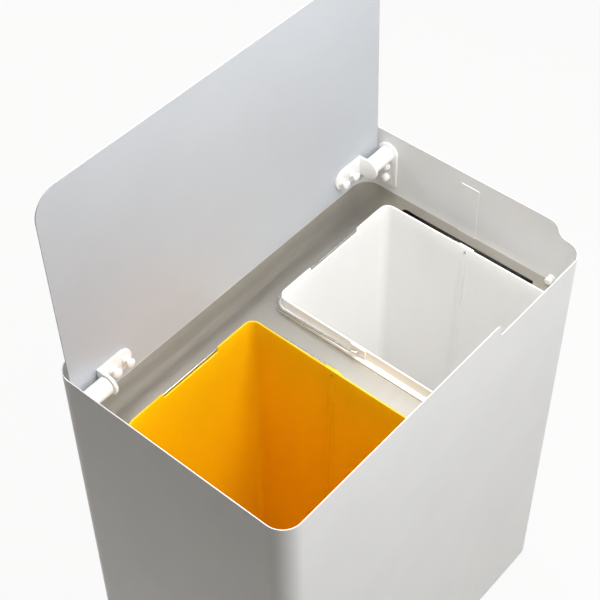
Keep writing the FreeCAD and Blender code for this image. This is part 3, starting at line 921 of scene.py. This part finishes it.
def softbox(name, place, power, target=RIM, size=(1.2, 1.2), light=WHITE):
    """A rectangular area lamp that faces a target and isn't seen itself."""
    bpy.ops.object.light_add(type="AREA", location=place)
    lamp = named(name)
    lamp.data.shape = "RECTANGLE"
    lamp.data.size, lamp.data.size_y = size
    lamp.data.energy = power
    lamp.data.color = linear(light)[:3]
    lamp.visible_camera = False
    away = Vector(place) - Vector(target)
    lamp.rotation_euler = away.to_track_quat("Z", "Y").to_euler()


class BIN_OT_stage(bpy.types.Operator):
    """Set up the pale floor, the soft studio light and the camera"""

    bl_idname = "bin.stage"
    bl_label = "Studio"

    def execute(self, context):
        scene = context.scene
        scene.view_settings.view_transform = "Standard"
        self.floor()
        self.world(scene)
        for settings in SOFTBOXES:
            softbox(**settings)
        self.camera(scene)
        return {"FINISHED"}

    def floor(self):
        """A pale floor that looks white and keeps the object's shadow."""
        bpy.ops.object.select_all(action="DESELECT")
        bpy.ops.mesh.primitive_plane_add(size=FLOOR_WIDTH, location=(0, 0, 0))
        floor = named("studio_floor")
        material = bpy.data.materials.new("pale_floor")
        material.use_nodes = True
        tree = material.node_tree
        tree.nodes.clear()
        pale = linear(FLOOR_COLOUR)
        matt = add(tree, "ShaderNodeBsdfDiffuse", None, {"Color": pale}).outputs[0]
        shine = {"Color": linear(WHITE), "Strength": 1.0}
        glow = add(tree, "ShaderNodeEmission", None, shine).outputs[0]
        share = {0: seen_directly(tree), 1: FLOOR_GLOW}
        part = add(tree, "ShaderNodeMath", {"operation": "MULTIPLY"}, share).outputs[0]
        mix = add(tree, "ShaderNodeMixShader", None, {0: part, 1: matt, 2: glow})
        add(tree, "ShaderNodeOutputMaterial", None, {"Surface": mix.outputs[0]})
        floor.data.materials.append(material)

    def world(self, scene):
        """A weak warm fill that shows as white where it is seen directly."""
        world = bpy.data.worlds.new("studio")
        scene.world = world
        world.use_nodes = True
        tree = world.node_tree
        tree.nodes.clear()
        warm = {"Color": linear(FILL_COLOUR), "Strength": FILL_STRENGTH}
        plain_white = {"Color": linear(WHITE), "Strength": 1.0}
        fill = add(tree, "ShaderNodeBackground", None, warm).outputs[0]
        seen = add(tree, "ShaderNodeBackground", None, plain_white).outputs[0]
        inputs = {0: seen_directly(tree), 1: fill, 2: seen}
        mix = add(tree, "ShaderNodeMixShader", None, inputs)
        add(tree, "ShaderNodeOutputWorld", None, {"Surface": mix.outputs[0]})

    def camera(self, scene):
        turn = [math.radians(angle) for angle in CAMERA_TURN]
        bpy.ops.object.camera_add(location=CAMERA_PLACE, rotation=turn)
        camera = named("camera")
        camera.data.sensor_width = SENSOR_WIDTH_MM
        camera.data.lens = LENS_MM
        camera.data.shift_y = CAMERA_SHIFT
        scene.camera = camera


class BIN_PT_panel(bpy.types.Panel):
    """The bin's operators and settings in the 3D view's sidebar"""

    bl_label = "Recycling bin"
    bl_idname = "BIN_PT_panel"
    bl_space_type = "VIEW_3D"
    bl_region_type = "UI"
    bl_category = "Bin"

    def draw(self, context):
        for step in STEPS:
            self.layout.operator(step.bl_idname)
        for group in GROUPS:
            settings = getattr(context.scene, group)
            box = self.layout.box()
            for name in settings.bl_rna.properties.keys():
                if name not in ("rna_type", "name"):
                    box.prop(settings, name)


STEPS = (
    BIN_OT_sheet_metal,
    BIN_OT_buckets,
    BIN_OT_bails,
    BIN_OT_hinges,
    BIN_OT_rivets,
    BIN_OT_feet,
    BIN_OT_stage,
)
GROUPS = {
    "bin_bucket_sizes": BinBucketSizes,
    "bin_hinge_sizes": BinHingeSizes,
    "bin_finishes": BinFinishes,
}
CLASSES = (*GROUPS.values(), *STEPS, BIN_PT_panel)


def register():
    for item in CLASSES:
        bpy.utils.register_class(item)
    for name, group in GROUPS.items():
        setattr(bpy.types.Scene, name, bpy.props.PointerProperty(type=group))


def unregister():
    for name in GROUPS:
        delattr(bpy.types.Scene, name)
    for item in reversed(CLASSES):
        bpy.utils.unregister_class(item)


def main():
    register()
    for step in STEPS:
        area, name = step.bl_idname.split(".")
        getattr(getattr(bpy.ops, area), name)()


if __name__ == "__main__":
    main()
